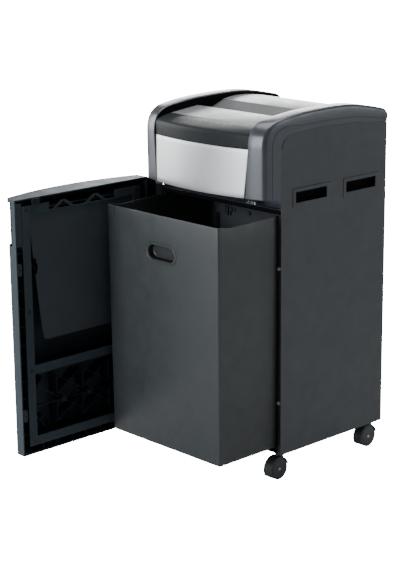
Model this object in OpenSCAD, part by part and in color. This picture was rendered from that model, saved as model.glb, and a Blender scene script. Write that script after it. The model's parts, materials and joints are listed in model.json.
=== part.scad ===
// Cross-cut office paper shredder: a steel cabinet on four castors with a plastic cutting head
// on top, a hinged front door and a pull-out bin. The origin is on the floor below the middle
// of the cabinet, +Z up, and the front of the cabinet faces -Y. The stored pose has the door
// swung open and the bin pulled part of the way out.

/* [Cabinet] */
// Width over the two side panels
cab_w = 374; // [364:1:384]
// Depth of the side panels
cab_d = 340; // [335:1:350]
// Height of the underside above the floor
cab_z = 68; // [66:1:70]
// Sheet thickness
sheet = 1.2; // [1:0.1:1.4]
// Length of the hand slots in the sides
slot_len = 98; // [80:1:104]
// Height of the hand slots
slot_h = 24; // [18:1:26]

/* [Head] */
// Height of the underside of the head
head_z = 650; // [649:0.5:651]
// Radius of the bowed front in plan
front_r = 600; // [580:5:640]
// How far the middle of the front stands before the side panels
front_bow = 80; // [78:1:82]
// Width between the two arms
deck_w = 291; // [286:1:292]
// Length of the paper slot
feed_w = 230; // [220:1:236]
// Height of the seam between fascia and control panel
fascia_top = 757; // [754:1:760]

/* [Door] */
// Angle of the door in the stored pose, 0 is shut
door_open = 90; // [80:1:92]
// Bottom of the door
door_z = 71; // [70:1:74]
// Top of the door
door_top = 649.5; // [645:0.5:649.5]
// Wall of the moulded door
door_wall = 2.5; // [2:0.1:3]

/* [Bin] */
// How far the bin is pulled out in the stored pose
bin_out = 172; // [120:1:175]
// Width of the bin
bin_w = 354; // [348:1:354]
// Depth of the bin
bin_d = 322; // [310:1:324]
// Bottom of the bin
bin_z = 83; // [83:0.5:84]
// Rim of the bin
bin_rim = 610.5; // [600:0.5:611]
// Wall of the bin
bin_wall = 2.5; // [2:0.1:3]

/* [Castors] */
// Diameter of the castor wheels
wheel_d = 50; // [48:1:52]
// Trail from the swivel axis to the axle
trail = 8; // [6:1:12]

/* [Cutters] */
// Distance between the two cutter shafts
cutter_gap = 38; // [38:0.1:38.4]
// Radius of the cutter discs
disc_r = 20; // [19.5:0.1:20]
// Pitch of the discs along the shaft
disc_pitch = 8; // [8:0.1:8.1]

/* [Hidden] */
$fn = 48;

half_w = cab_w / 2;
front_y = -cab_d / 2;
rear_y = cab_d / 2;
in_x = half_w - sheet;               // inner face of the side panels
flange = 8.6;                        // width of the folded edges
tray_z = cab_z + sheet;              // underside of the base tray
tray_top = tray_z + 1.5;
bow_y = front_y - front_bow;         // foremost line of the bowed front
bow_cy = bow_y + front_r;            // centre of the bowed front in plan
deck_x = deck_w / 2;
arm_in = deck_x + 0.5;               // inner side of the arms
skin = 3;                            // wall of the head mouldings

// slots in the side panels
slot_z = 644;
slot_y = [-76, 85];

// castors
stem_x = half_w - 34;
stem_front = front_y + 29;
stem_rear = rear_y - 10;
stem_r = 5.5;
wheel_r = wheel_d / 2;
hood_top = wheel_r + 28.5;

// cutters and gears, [y, z] of each axis, all parallel to X
cut_z = 712;
cut_mid = -80;
cut_front = [cut_mid - cutter_gap / 2, cut_z];
cut_rear = [cut_mid + cutter_gap / 2, cut_z];
gear_m = 2;
cut_teeth = 19;
small_teeth = 12;
big_m = 1.5;
big_teeth = 48;
motor_teeth = 12;
train_a = 20;                        // direction from the rear cutter to the reduction gear
motor_a = -20;                       // direction from the reduction gear to the motor
train_d = gear_m * (cut_teeth + small_teeth) / 2;
motor_d = big_m * (big_teeth + motor_teeth) / 2;
red_axis = cut_rear + train_d * [cos(train_a), sin(train_a)];
motor_axis = red_axis + motor_d * [cos(motor_a), sin(motor_a)];
plate_x = 120;                       // inner face of the cutter plates
plate_t = 4;
journal_r = 8;
run = 0.05;                          // radial clearance of a running fit
disc_n = 29;
disc_t = 3.6;
core_r = 15;

// door, drawn shut and then swung open about its hinge
hinge_x = -half_w - 19.5;
hinge_y = front_y - 20.5;
door_l = -half_w - 2;
door_r = half_w;
door_in = front_y - 15;              // inner face of the shut door
pin_r = 3;
hinge_z = [150, 560];                // middle of each hinge
leaf_z = [[96, 122], [178, 532], [588, 632]];    // plain strips of the hinge, between its knuckles
knuckle = 16;                        // height of one knuckle
frame_x = 167.5;
frame_z = [90, 254, 613];
strip = 20;
strip_t = 3;

bin_y = front_y - 6 - bin_out;       // front of the bin in the stored pose
bin_x = bin_w / 2;

// Polar angle gained by an involute between its base circle and radius r
function involute(rb, r) = let (t = sqrt(max(0, (r / rb) * (r / rb) - 1)))
  t * 180 / PI - atan(t);
// Half the angle of a tooth at radius r
function half_tooth(n, m, slack, r) = let (p = n * m / 2, rb = p * cos(20))
  90 / n - slack / p * 90 / PI + involute(rb, p) - involute(rb, max(rb, r));
// Direction of a tooth on gear b that meshes with gear a, whose tooth points along a
function mate(a, na, phi, nb) = phi + 180 + ((phi - a) * na - 180) / nb;
// Points of a smooth curve through the points p
function spline(p, steps) = [for (i = [0:len(p) - 2]) for (k = [0:steps - 1])
  let (t = k / steps, a = p[max(0, i - 1)], b = p[i], c = p[i + 1], d = p[min(len(p) - 1, i + 2)])
  0.5 * (2 * b + t * (c - a) + t * t * (2 * a - 5 * b + 4 * c - d)
    + t * t * t * (3 * b - a - 3 * c + d))];

rear_tooth = train_a;
small_tooth = mate(rear_tooth, cut_teeth, train_a, small_teeth);
front_tooth = mate(rear_tooth, cut_teeth, 180, cut_teeth);
motor_tooth = mate(0, big_teeth, motor_a, motor_teeth);

// Top edge of a side panel, front to back, as [y, z]
panel_top = spline([[front_y, 740], [front_y + 1, 753], [front_y + 8, 770], [front_y + 25, 782],
  [front_y + 56, 786], [front_y + 119, 788], [front_y + 199, 786.5], [front_y + 275, 781.5],
  [rear_y, 775]], 4);
// Crown of the head seen from the side, front to back
crown = spline([[bow_y + 13, head_z + 1], [bow_y + 13, 770], [front_y - 60, 788],
  [front_y - 44, 803], [front_y - 20, 813], [front_y + 10, 820], [front_y + 56, 824.5],
  [front_y + 118, 827.5], [front_y + 182, 827.5], [front_y + 221, 825.5],
  [front_y + 281, 816.5], [front_y + 329, 806], [front_y + 341, 797], [rear_y + 3, 775]], 4);

// Helpers -------------------------------------------------------------------------------

module block(x0, x1, y0, y1, z0, z1) {
  translate([x0, y0, z0]) cube([x1 - x0, y1 - y0, z1 - z0]);
}

// Cylinder along X between x0 and x1 on the axis [y, z]
module rod_x(x0, x1, c, r) {
  translate([x0, c[0], c[1]]) rotate([0, 90, 0]) cylinder(r = r, h = x1 - x0);
}

// Cylinder along Y between y0 and y1 on the axis [x, z]
module rod_y(y0, y1, c, r) {
  translate([c[0], y1, c[1]]) rotate([90, 0, 0]) cylinder(r = r, h = y1 - y0);
}

module rod_z(z0, z1, c, r) {
  translate([c[0], c[1], z0]) cylinder(r = r, h = z1 - z0);
}

// Outline of [y, z] points carried along X
module profile_x(x0, x1, pts) {
  translate([x0, 0, 0]) rotate([90, 0, 90]) linear_extrude(x1 - x0) polygon(pts);
}

// Outline of [x, z] points carried along Y
module profile_y(y0, y1, pts) {
  translate([0, y1, 0]) rotate([90, 0, 0]) linear_extrude(y1 - y0) polygon(pts);
}

// Flat slot shape along Y, wide along X and round at its ends
module stadium_y(y0, y1, c, w, h) {
  block(c[0] - (w - h) / 2, c[0] + (w - h) / 2, y0, y1, c[1] - h / 2, c[1] + h / 2);
  for (s = [-1, 1]) rod_y(y0, y1, [c[0] + s * (w - h) / 2, c[1]], h / 2);
}

// Upright box with round corners
module round_box(x, y0, y1, z0, z1, r) {
  block(-x + r, x - r, y0, y1, z0, z1);
  block(-x, x, y0 + r, y1 - r, z0, z1);
  for (px = [-x + r, x - r]) for (py = [y0 + r, y1 - r]) rod_z(z0, z1, [px, py], r);
}

// Everything behind the bowed front, moved back by off
module bow_body(off, x0, x1, y1, z0, z1) {
  intersection() {
    translate([0, bow_cy, z0]) cylinder(r = front_r - off, h = z1 - z0, $fn = 96);
    block(x0, x1, bow_y - 1, y1, z0 - 1, z1 + 1);
  }
}

module gear_2d(n, m, slack, turn) {
  p = n * m / 2;
  base = p * cos(20);
  tip = p + 0.8 * m;
  root = p - 1.15 * m;
  radii = [max(base, root), (base + p) / 2, p, (p + tip) / 2, tip];
  flank = [for (r = radii) [r, half_tooth(n, m, slack, r)]];
  foot = [root, half_tooth(n, m, slack, root)];
  side = concat([foot], flank);
  polygon([for (i = [0:n - 1]) let (c = turn + i * 360 / n)
    each concat([for (q = side) q[0] * [cos(c - q[1]), sin(c - q[1])]],
      [for (k = [len(side) - 1:-1:0]) side[k][0] * [cos(c + side[k][1]), sin(c + side[k][1])]])]);
}

// Spur gear along X on the axis c
module gear_x(x0, x1, c, n, m, turn) {
  translate([x0, c[0], c[1]]) rotate([90, 0, 90]) linear_extrude(x1 - x0)
    gear_2d(n, m, 0.35, turn);
}

module swung() {
  translate([hinge_x, hinge_y, 0]) rotate([0, 0, -door_open]) translate([-hinge_x, -hinge_y, 0])
    children();
}

// Cabinet -------------------------------------------------------------------------------

module base_tray() {
  color([0.13, 0.14, 0.15]) difference() {
    union() {
      block(-in_x, in_x, front_y + sheet, rear_y - 1.6, tray_z, tray_top);
      for (x = [-stem_x, stem_x]) for (y = [stem_front, stem_rear])
        rod_z(tray_top, bin_z - 2, [x, y], 8);
    }
    for (x = [-stem_x, stem_x]) for (y = [stem_front, stem_rear])
      rod_z(cab_z, bin_z, [x, y], stem_r + run);
  }
}

module side_panel() {
  outline = concat([[front_y, cab_z]], panel_top, [[rear_y, 775], [rear_y, cab_z]]);
  difference() {
    union() {
      profile_x(in_x, half_w, outline);
      block(half_w - flange, in_x, front_y, front_y + sheet, cab_z + 4, head_z - 40);
      block(half_w - flange, in_x, front_y + sheet, rear_y - 1.6, cab_z, tray_z);
    }
    for (y = slot_y) block(in_x - 1, half_w + 1, y - slot_len / 2, y + slot_len / 2,
      slot_z - slot_h / 2, slot_z + slot_h / 2);
  }
}

module right_side_panel() {
  color([0.22, 0.24, 0.25]) side_panel();
}

module left_side_panel() {
  color([0.22, 0.24, 0.25]) mirror([1, 0, 0]) side_panel();
}

module back_panel() {
  color([0.2, 0.22, 0.23]) difference() {
    union() {
      block(-in_x, in_x, rear_y - 1.6, rear_y - 0.4, tray_z, head_z);
      block(-in_x, in_x, rear_y - 20, rear_y - 1.6, head_z - sheet, head_z);
    }
    for (z = [520:18:610]) for (x = [-70, 70])
      stadium_y(rear_y - 3, rear_y + 1, [x, z], 100, 6);
  }
}

module front_crossbar() {
  color([0.1, 0.11, 0.13]) {
    block(-in_x, in_x, front_y, front_y + 1.5, bin_rim + 2, bin_rim + 11.5);
    block(-in_x, in_x, front_y + 1.5, front_y + 30, bin_rim + 10, bin_rim + 11.5);
    block(-in_x, in_x, front_y + 28.5, front_y + 30, bin_rim + 11.5, head_z);
  }
}

module bin_rails() {
  color([0.55, 0.57, 0.6]) for (s = [-1, 1])
    block(s * 127 - 8, s * 127 + 8, front_y + 5, rear_y - 25, tray_top, bin_z - 0.4);
}

module cabinet_screws() {
  color([0.6, 0.6, 0.62]) for (x = [-176, 176]) for (z = [110, 260, 410, 560])
    rod_y(rear_y - 0.4, rear_y + 1.6, [x, z], 4);
}

module rubber_bumpers() {
  color([0.35, 0.36, 0.37]) for (s = [-1, 1]) for (z = [190, 494])
    rod_y(front_y - 3, front_y, [s * (half_w - flange / 2 - 1), z], 4);
}

// Head ----------------------------------------------------------------------------------

// The chassis hangs on two shelves, which carry a shallow cup behind each pair of hand slots
module head_chassis() {
  front = front_y - 38;
  top = 775;
  shelf_z = slot_z + slot_h / 2 + 1;
  cup_z = slot_z - slot_h / 2 - 8;
  cup_x = in_x - 13;
  cup_y0 = slot_y[0] - slot_len / 2 - 5;
  cup_y1 = slot_y[1] + slot_len / 2 + 5;
  color([0.16, 0.17, 0.18]) {
    difference() {
      block(-deck_x, deck_x, front, rear_y - 4, head_z, top);
      block(-deck_x + skin, deck_x - skin, front + skin, rear_y + 1, head_z + skin, top + 1);
      block(-feed_w / 2 - 3, feed_w / 2 + 3, cut_mid - 40, cut_mid + 40, head_z - 1,
        head_z + 9);
    }
    for (s = [0, 1]) mirror([s, 0, 0]) difference() {
      union() {
        block(deck_x - 1, in_x - 0.3, cup_y0, cup_y1, shelf_z, shelf_z + skin);
        block(cup_x, in_x - 0.3, cup_y0, cup_y1, cup_z, shelf_z + 1);
      }
      block(cup_x + 1.5, in_x, cup_y0 + 1.5, cup_y1 - 1.5, cup_z + 1.5, shelf_z);
    }
  }
}

module arm() {
  last = len(panel_top) - 1;
  inner = concat([[rear_y, 775]], [for (i = [last:-1:0]) panel_top[i]]);
  intersection() {
    profile_x(arm_in, half_w, concat(crown, [[rear_y + 3, 775]], inner, [[front_y, head_z - 5],
      [front_y - 13, head_z - 4], [front_y - 14, head_z + 1]]));
    translate([0, bow_cy, head_z - 9]) cylinder(r = front_r, h = 200, $fn = 96);
  }
}

module right_arm() {
  color([0.5, 0.51, 0.54]) arm();
}

module left_arm() {
  color([0.5, 0.51, 0.54]) mirror([1, 0, 0]) arm();
}

module front_fascia() {
  color([0.83, 0.84, 0.85]) difference() {
    bow_body(0, -deck_x, deck_x, front_y - 38, head_z + 1.5, fascia_top);
    bow_body(skin, -deck_x - 1, deck_x + 1, front_y, head_z, fascia_top + 1);
  }
}

deck_front = [front_y - 12, 799.5];
deck_back = [front_y + 70, 807.5];
ledge = [bow_y + 16, 789];            // where the sloped top of the control panel starts
ledge_a = atan((deck_front[1] - ledge[1]) / (deck_front[0] - 0.5 - ledge[0]));

module control_panel() {
  top = [[bow_y - 1, fascia_top + 0.4], [bow_y - 1, 780], [bow_y + 6, 785.5], ledge,
    [deck_front[0] - 0.5, deck_front[1]], [deck_front[0] - 0.5, fascia_top + 0.4]];
  color([0.16, 0.17, 0.18]) difference() {
    intersection() {
      bow_body(0, -deck_x, deck_x, front_y, fascia_top + 0.4, 800);
      profile_x(-deck_x, deck_x, top);
    }
    bow_body(skin, -deck_x - 1, deck_x + 1, front_y, fascia_top - 1, 778);
  }
}

module touch_icons() {
  color([0.8, 0.82, 0.84]) for (i = [0:7])
    translate([-63 + i * 18, ledge[0] + 28, ledge[1] + 28 * tan(ledge_a)]) rotate([ledge_a, 0, 0])
      cylinder(r = 2.6, h = 0.5);
}

module deck_plate() {
  color([0.8, 0.81, 0.82]) profile_x(-deck_x, deck_x, [deck_front, deck_back,
    deck_back - [0, 4], deck_front - [0, 4]]);
}

module throat_guide() {
  wall_top = [front_y + 150, 812];
  wall_foot = [front_y + 112, 797];
  slot_rear = [cut_mid + 4, 744];
  slot_front = [cut_mid - 4, 744];
  lip = [deck_back[0] + 0.5, 803];
  color([0.42, 0.43, 0.44]) {
    profile_x(-deck_x, deck_x, [wall_top, wall_foot, wall_foot + [2, -4], wall_top + [0, -4]]);
    profile_x(-feed_w / 2 - 1, feed_w / 2 + 1, [wall_foot, slot_rear, slot_rear + [3, 0],
      wall_foot + [6, -2]]);
    profile_x(-feed_w / 2 - 1, feed_w / 2 + 1, [lip, slot_front, slot_front - [3, 0],
      lip - [0, 10]]);
    for (s = [-1, 1]) {
      x0 = s > 0 ? feed_w / 2 : -feed_w / 2 - skin;
      profile_x(x0, x0 + skin, [lip - [0, 1], slot_front - [3, 0], slot_rear + [3, 0],
        wall_foot + [1, -1]]);
      profile_x(s > 0 ? feed_w / 2 : -deck_x, s > 0 ? deck_x : -feed_w / 2,
        [lip, wall_foot, wall_foot + [3, -2], wall_foot - [0, 3], lip - [0, 3]]);
    }
  }
}

module rear_hood() {
  under = -4;
  line = [[front_y + 150.5, 813], [front_y + 190, 817], [front_y + 230, 815.5],
    [front_y + 290, 806], [rear_y + 3, 793]];
  color([0.8, 0.81, 0.82]) profile_x(-deck_x, deck_x,
    concat(line, [for (i = [len(line) - 1:-1:0]) line[i] + [0, under]]));
}

rocker_c = [104, 700];
gland_c = [-104, 690];
gland_r = 4;

module rear_cover() {
  color([0.2, 0.21, 0.22]) difference() {
    union() {
      block(-deck_x, deck_x, rear_y - 4, rear_y - 1, head_z, 788);
      block(-in_x + 0.3, in_x - 0.3, rear_y - 4, rear_y - 1, head_z, 774);
    }
    for (z = [740:10:770]) for (x = [-60, 60]) stadium_y(rear_y - 6, rear_y + 1, [x, z], 90, 5);
    block(rocker_c[0] - 10, rocker_c[0] + 10, rear_y - 6, rear_y, rocker_c[1] - 14,
      rocker_c[1] + 14);
    rod_y(rear_y - 6, rear_y, gland_c, 8);
  }
}

// Power switch: the rocker turns on its own trunnions in the opening of the rear cover
module power_rocker() {
  color([0.08, 0.08, 0.09]) {
    rod_x(rocker_c[0] - 9.5, rocker_c[0] + 9.5, [rear_y - 8, rocker_c[1]], 3);
    intersection() {
      rod_x(rocker_c[0] - 9, rocker_c[0] + 9, [rear_y - 8, rocker_c[1]], 13);
      block(rocker_c[0] - 9, rocker_c[0] + 9, rear_y - 8, rear_y + 3, rocker_c[1] - 11,
        rocker_c[1] + 11);
    }
  }
}

module cord_gland() {
  color([0.08, 0.08, 0.09]) difference() {
    union() {
      rod_y(rear_y - 10, rear_y - 1, gland_c, 8);
      rod_y(rear_y - 1, rear_y + 2, gland_c, 10);
    }
    rod_y(rear_y - 11, rear_y + 3, gland_c, gland_r);
  }
}

catch_x = 132;

module latch_strike() {
  color([0.3, 0.31, 0.33]) difference() {
    block(catch_x - 38, catch_x - 12, front_y - 12, front_y + 10, head_z - 12, head_z);
    block(catch_x - 33, catch_x - 17, front_y - 13, front_y + 2, head_z - 8, head_z - 4);
  }
}

module interlock_switch() {
  color([0.12, 0.12, 0.13]) difference() {
    block(catch_x - 9, catch_x + 9, front_y - 2, front_y + 20, head_z - 14, head_z);
    rod_y(front_y - 3, front_y + 15, [catch_x, head_z - 7], 3 + run);
  }
}

module interlock_plunger() {
  color([0.7, 0.72, 0.74]) {
    rod_y(front_y - 8, front_y + 10, [catch_x, head_z - 7], 3);
  }
}

// Cutting mechanism -----------------------------------------------------------------------

bearing_r = 11;

module cutter_plates() {
  color([0.55, 0.56, 0.58]) for (s = [-1, 1])
    difference() {
      block(s > 0 ? plate_x : -plate_x - plate_t, s > 0 ? plate_x + plate_t : -plate_x,
        cut_front[0] - 26, motor_axis[0] + 30, head_z + skin, 742);
      for (c = [cut_front, cut_rear]) rod_x(-200, 200, c, bearing_r);
      rod_x(-200, 200, red_axis, 5 + run);
      rod_x(-200, 200, motor_axis, 6);
    }
}

module cutter_bearings() {
  color([0.72, 0.6, 0.3]) for (s = [-1, 1]) for (c = [cut_front, cut_rear])
    difference() {
      rod_x(s > 0 ? plate_x : -plate_x - plate_t, s > 0 ? plate_x + plate_t : -plate_x,
        c, bearing_r);
      rod_x(-200, 200, c, journal_r + run);
    }
}

// One solid cutter: discs turned from the bar, with a journal at each end
module cutter(c, shift) {
  first = -(disc_n - 1) * disc_pitch / 2 + shift - disc_t / 2;
  end = plate_x - 1;
  ring = [for (i = [0:disc_n - 1]) let (x = first + i * disc_pitch)
    each [[core_r, x], [disc_r, x], [disc_r, x + disc_t], [core_r, x + disc_t]]];
  translate([0, c[0], c[1]]) rotate([0, 90, 0]) rotate_extrude()
    polygon(concat([[0, -133], [journal_r, -133], [journal_r, -end], [core_r, -end]], ring,
      [[core_r, end], [journal_r, end], [journal_r, 127], [0, 127]]));
}

module front_cutter() {
  color([0.6, 0.61, 0.63]) cutter(cut_front, -disc_pitch / 4);
}

module rear_cutter() {
  color([0.6, 0.61, 0.63]) cutter(cut_rear, disc_pitch / 4);
}

module stripper_combs() {
  color([0.3, 0.31, 0.32]) for (s = [-1, 1]) {
    c = s < 0 ? cut_front : cut_rear;
    shift = s * disc_pitch / 4;
    far = c[0] + s * 22;
    near = c[0] + s * (core_r + 0.8);
    block(-plate_x, plate_x, min(far, far + s * 3), max(far, far + s * 3), cut_z - 12, cut_z + 12);
    for (i = [0:disc_n - 2]) {
      x = -(disc_n - 2) * disc_pitch / 2 + shift + i * disc_pitch;
      block(x - 1.5, x + 1.5, min(far, near), max(far, near), cut_z - 4, cut_z + 4);
    }
  }
}

gear_x0 = -132;
gear_x1 = -126;
big_x0 = -139.5;
big_x1 = -133.5;

module front_cutter_gear() {
  color([0.5, 0.5, 0.52]) difference() {
    gear_x(gear_x0, gear_x1, cut_front, cut_teeth, gear_m, front_tooth);
    rod_x(gear_x0 - 1, gear_x1 + 1, cut_front, journal_r);
  }
}

module rear_cutter_gear() {
  color([0.5, 0.5, 0.52]) difference() {
    gear_x(gear_x0, gear_x1, cut_rear, cut_teeth, gear_m, rear_tooth);
    rod_x(gear_x0 - 1, gear_x1 + 1, cut_rear, journal_r);
  }
}

// Two gears in one: the small one drives the rear cutter, the big one meets the motor
module reduction_gear() {
  color([0.85, 0.85, 0.8]) {
    rod_x(gear_x1 + 1.5, -plate_x, red_axis, 5);
    gear_x(gear_x0, gear_x1, red_axis, small_teeth, gear_m, small_tooth);
    rod_x(gear_x1, gear_x1 + 1.5, red_axis, 8);
    rod_x(big_x1, gear_x0, red_axis, 8);
    gear_x(big_x0, big_x1, red_axis, big_teeth, big_m, 0);
  }
}

motor_r = 38;
motor_x0 = -112;
motor_x1 = 14;

module motor() {
  color([0.45, 0.46, 0.48]) difference() {
    union() {
      rod_x(motor_x0 + 8, motor_x1 - 8, motor_axis, motor_r);
      rod_x(motor_x0, motor_x0 + 8, motor_axis, motor_r - 5);
      rod_x(motor_x1 - 8, motor_x1, motor_axis, motor_r - 5);
      rod_x(-plate_x, motor_x0, motor_axis, 14);
      block(-90, -10, motor_axis[0] - 25, motor_axis[0] + 25, head_z + skin, motor_axis[1] - 30);
    }
    rod_x(-200, 200, motor_axis, 4 + run);
  }
}

module motor_pinion() {
  color([0.65, 0.66, 0.68]) {
    rod_x(big_x1, motor_x1 + 18, motor_axis, 4);
    gear_x(big_x0, big_x1, motor_axis, motor_teeth, big_m, motor_tooth);
  }
}

module motor_fan() {
  color([0.15, 0.15, 0.16]) difference() {
    union() {
      rod_x(motor_x1 + 3, motor_x1 + 15, motor_axis, 9);
      for (i = [0:6]) translate([motor_x1 + 9, motor_axis[0], motor_axis[1]])
        rotate([i * 360 / 7, 0, 0]) rotate([0, 0, 35]) translate([-1, -6, 8]) cube([2, 12, 24]);
    }
    rod_x(-200, 200, motor_axis, 4);
  }
}

module capacitor() {
  color([0.75, 0.76, 0.78]) rod_x(50, 112, [95, head_z + skin + 18], 18);
}

module control_board() {
  color([0.1, 0.35, 0.2]) {
    block(40, 130, 80, 81.6, head_z + skin + 40, head_z + skin + 100);
    block(50, 70, 66, 80, 700, 725);
    rod_y(62, 80, [100, 715], 6);
    rod_y(62, 80, [116, 715], 6);
    for (x = [44, 126]) block(x - 3, x + 3, 81.6, 85, head_z + skin, head_z + skin + 60);
  }
}

// Door, drawn shut --------------------------------------------------------------------------

// Space inside a bowed door whose free corner is bevelled, inset by off on every side
module door_body(off, z0, z1) {
  corner_y = door_in - 25;           // where the bevel meets the free end
  difference() {
    bow_body(off, door_l + off, door_r - off, door_in + (off > 0 ? 1 : 0), z0, z1);
    translate([door_r, corner_y, z0 - 1]) rotate([0, 0, -38]) translate([-off, -40, 0])
      cube([40, 80, z1 - z0 + 2]);
  }
}

grip_y = door_in - 18.5;             // the skin is cut back to here beside the grip

module door_shell() {
  color([0.25, 0.27, 0.29]) swung() difference() {
    door_body(0, door_z, door_top);
    door_body(door_wall, door_z + door_wall, door_top - door_wall);
    block(door_r - 17, door_r + 1, bow_y, grip_y, 547, 643);
    block(door_r - door_wall - 1, door_r + 1, grip_y - 1, grip_y + 6, 547, 643);
  }
}

module door_ribs() {
  pitch = 41.2;
  back = door_in - 6;
  seat = door_in - strip_t;          // the frame is screwed to these
  color([0.12, 0.13, 0.15]) swung() intersection() {
    door_body(door_wall + 0.05, door_z + door_wall, door_top - door_wall);
    union() {
      for (i = [0:11]) block(frame_x + 0.5, door_r - door_wall, bow_y, back,
        door_z + 5.3 + i * pitch, door_z + 6.7 + i * pitch);
      for (i = [-4:3]) block(i * pitch + 3, i * pitch + 4.4, bow_y, back,
        door_z + door_wall, frame_z[0] - 0.5);
      for (x = [-frame_x + 4, frame_x - 6]) block(x, x + 2, bow_y, seat, frame_z[0] + 4,
        frame_z[2] + strip - 4);
      for (z = [frame_z[0] + 9, frame_z[1] + 9, frame_z[2] + 9]) block(-frame_x + 6.4,
        frame_x - 6.4, bow_y, seat, z, z + 2);
    }
  }
}

// Screwed-in frame: two uprights, a middle and a lower rail, and a zigzag along the top
module door_frame() {
  lean = 27;
  color([0.3, 0.33, 0.37]) swung() union() {
    difference() {
      block(-frame_x, frame_x, door_in - strip_t, door_in, frame_z[0], frame_z[1] + strip);
      block(-frame_x + strip, frame_x - strip, door_in - 5, door_in + 1, frame_z[0] + strip,
        frame_z[1]);
    }
    for (s = [-1, 1]) {
      block(s > 0 ? frame_x - strip : -frame_x, s > 0 ? frame_x : strip - frame_x,
        door_in - strip_t, door_in, frame_z[1], frame_z[2] + strip);
      block(s > 0 ? 93 : -frame_x, s > 0 ? frame_x : -93, door_in - strip_t, door_in - 1,
        frame_z[2], frame_z[2] + strip);
    }
    block(-95, 95, door_in - strip_t, door_in - 1, frame_z[2], frame_z[2] + 3);
    for (x = [76, -15]) profile_y(door_in - strip_t, door_in - 1, [[x, frame_z[2] + 1],
      [x + 11, frame_z[2] + 1], [x + 11 - lean, frame_z[2] + strip],
      [x - lean, frame_z[2] + strip]]);
    for (x = [20, -71]) profile_y(door_in - strip_t, door_in - 1, [[x, frame_z[2] + 1],
      [x + 11, frame_z[2] + 1], [x + 11 + lean, frame_z[2] + strip],
      [x + lean, frame_z[2] + strip]]);
  }
}

module door_liner() {
  top_x = frame_x - strip + 1;
  foot_x = 116;
  foot_z = 326;
  round_r = 10;
  color([0.14, 0.15, 0.16]) swung() difference() {
    union() {
      profile_y(door_in - 8, door_in - 5, [[-top_x, frame_z[2] - 0.3], [top_x, frame_z[2] - 0.3],
        [foot_x + 3, foot_z + 22], [foot_x - 8, foot_z], [-foot_x + 8, foot_z],
        [-foot_x - 3, foot_z + 22]]);
      for (s = [-1, 1]) rod_y(door_in - 8, door_in - 5,
        [s * (foot_x - round_r + 1), foot_z + round_r + 1], round_r);
    }
    for (s = [-1, 1]) block(s * 140 - 6, s * 140 + 6, door_in - 9, door_in - 4, 496, 514);
  }
}

module door_grip() {
  color([0.35, 0.38, 0.42]) swung() difference() {
    block(frame_x + 1, door_r - 3, grip_y + 0.5, door_in - 1, 547, 641);
    block(frame_x + 4, door_r - 6, grip_y - 1, door_in - 4, 552, 634);
  }
}

module door_latch() {
  color([0.3, 0.31, 0.33]) swung() {
    block(catch_x - 12, catch_x + 10, door_in, door_in + 4, 634, 647);
    block(catch_x - 8, catch_x + 2, door_in + 4, door_in + 6, 638, 647);
    block(catch_x - 12, catch_x + 2, door_in - 12, door_in, door_top - door_wall - 4,
      door_top - door_wall);
  }
}

module door_pads() {
  color([0.4, 0.41, 0.42]) swung() for (z = [163, 495]) {
    block(door_r - 15.5, door_r - 4.5, door_in - 5.5, door_in - 2, z - 9, z + 9);
    for (s = [-1, 1]) rod_y(door_in - 5.5, door_in - 2, [door_r - 10, z + s * 9], 5.5);
    block(door_r - 5, door_r - door_wall, door_in - 5.5, door_in - 3, z - 3, z + 3);
  }
}

module door_screws() {
  color([0.5, 0.51, 0.53]) swung()
    for (x = [-frame_x + 10, frame_x - 10]) for (z = [100, 264, 398, 625])
      rod_y(door_in, door_in + 1, [x, z], 2.6);
}

module door_hinge_knuckles() {
  color([0.2, 0.21, 0.22]) swung() for (z = hinge_z) difference() {
    union() {
      rod_z(z - knuckle / 2, z + knuckle / 2, [hinge_x, hinge_y], 6);
      block(hinge_x, door_l, hinge_y - 6, hinge_y, z - knuckle / 2, z + knuckle / 2);
    }
    rod_z(z - 30, z + 30, [hinge_x, hinge_y], pin_r + run);
  }
  color([0.1, 0.11, 0.13]) swung() for (z = leaf_z) block(hinge_x - 11, door_l, hinge_y + 1,
    hinge_y + 3.5, z[0], z[1]);
}

module cabinet_hinge_brackets() {
  tall = knuckle * 1.5;
  color([0.2, 0.21, 0.22]) for (z = hinge_z) difference() {
    union() {
      rod_z(z - tall, z + tall, [hinge_x, hinge_y], 6);
      block(hinge_x - 6, hinge_x - 2.5, hinge_y, front_y - 3, z - tall, z + tall);
      block(hinge_x - 6, -half_w + flange, front_y - 3, front_y, z - tall, z + tall);
    }
    rod_z(z - 30, z + 30, [hinge_x, hinge_y], pin_r);
    block(hinge_x - 8, hinge_x + 8, hinge_y - 8, hinge_y + 10, z - knuckle / 2 - 0.4,
      z + knuckle / 2 + 0.4);
  }
  color([0.1, 0.11, 0.13]) for (z = leaf_z) block(hinge_x - 6, -half_w + 0.8, front_y - 3,
    front_y, z[0] + 4, z[1] - 4);
}

module hinge_pins() {
  color([0.65, 0.66, 0.68]) for (z = hinge_z) {
    rod_z(z - knuckle * 1.5, z + knuckle * 1.5, [hinge_x, hinge_y], pin_r);
    rod_z(z + knuckle * 1.5, z + knuckle * 1.5 + 2, [hinge_x, hinge_y], pin_r + 1.5);
  }
}

// Bin -----------------------------------------------------------------------------------------

module bin_shell() {
  grip = [0, 528];
  y1 = bin_y + bin_d;
  color([0.27, 0.29, 0.3]) difference() {
    union() {
      difference() {
        round_box(bin_x, bin_y, y1, bin_z, bin_rim, 7);
        round_box(bin_x - bin_wall, bin_y + bin_wall, y1 - bin_wall, bin_z + bin_wall,
          bin_rim + 1, 5);
      }
      stadium_y(bin_y + 1, bin_y + 16, grip, 90, 38);
    }
    stadium_y(bin_y - 1, bin_y + 13.5, grip, 84, 32);
    block(-154, -152, bin_y - 1, bin_y + 4, 592, bin_rim + 1);
  }
}

// Castors -------------------------------------------------------------------------------------

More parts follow.
